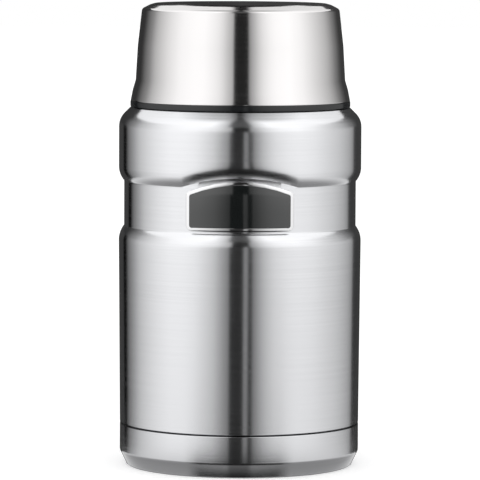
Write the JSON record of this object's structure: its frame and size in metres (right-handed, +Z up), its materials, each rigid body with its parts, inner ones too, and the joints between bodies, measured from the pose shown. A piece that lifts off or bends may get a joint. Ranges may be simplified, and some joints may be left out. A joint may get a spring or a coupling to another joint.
{
  "type": "insulated food jar",
  "caption": "Double-walled steel food jar with a waisted barrel, a screw stopper and a screw-on steel cup lid with a black rim ring.",
  "frame": {"origin": "centre of the foot, on the surface that the jar stands on", "axes": "+Z up along the jar's axis, the plate on the waist faces -Y"},
  "size_m": [0.104, 0.104, 0.1982],
  "materials": {
    "shell_steel": "fine brushed, satin",
    "vessel_steel": "electro-polished, satin",
    "foil": "bright foil",
    "getter_metal": "sintered, matt",
    "clip_steel": "spring steel",
    "braze": "braze metal",
    "cover_plastic": "matt grey",
    "adhesive": "foam tape",
    "bright_metal": "polished",
    "dark_enamel": "glossy dark enamel",
    "silicone": "soft silicone",
    "stopper_plastic": "fine moulded texture",
    "foam": "rigid foam",
    "rim_plastic": "glossy black",
    "liner_plastic": "satin black",
    "cup_steel": "polished with a fine brush"
  },
  "bodies": {
    "jar": {"outer_shell": "shell_steel", "base_cup": "shell_steel", "inner_wall": "vessel_steel", "inner_floor": "vessel_steel", "foil_wrap": "foil", "foil_disc": "foil", "getter": "getter_metal", "getter_clip": "clip_steel", "seal_plug": "braze", "seal_disc": "cover_plastic", "badge_adhesive": "adhesive", "badge_plate": "bright_metal", "badge_inlay": "dark_enamel"},
    "stopper_seal": {"stopper_gasket": "silicone"},
    "stopper": {"stopper_body": "stopper_plastic", "stopper_cap": "stopper_plastic", "stopper_foam": "foam"},
    "cup_rim": {"cup_rim_ring": "rim_plastic"},
    "cup": {"cup_shell": "cup_steel", "cup_liner": "liner_plastic"}
  },
  "joints": [
    {"name": "stopper_lift", "type": "slide", "parent": "jar", "child": "stopper_seal", "axis": [0, 0, 1], "range_m": [0, 0.09]},
    {"name": "stopper_turn", "type": "hinge", "parent": "stopper_seal", "child": "stopper", "pos_m": [0, 0, 0.17], "axis": [0, 0, 1], "range_deg": [0, 450]},
    {"name": "cup_lift", "type": "slide", "parent": "stopper", "child": "cup_rim", "axis": [0, 0, 1], "range_m": [0, 0.09]},
    {"name": "cup_turn", "type": "hinge", "parent": "cup_rim", "child": "cup", "pos_m": [0, 0, 0.17], "axis": [0, 0, 1], "range_deg": [0, 360]}
  ]
}
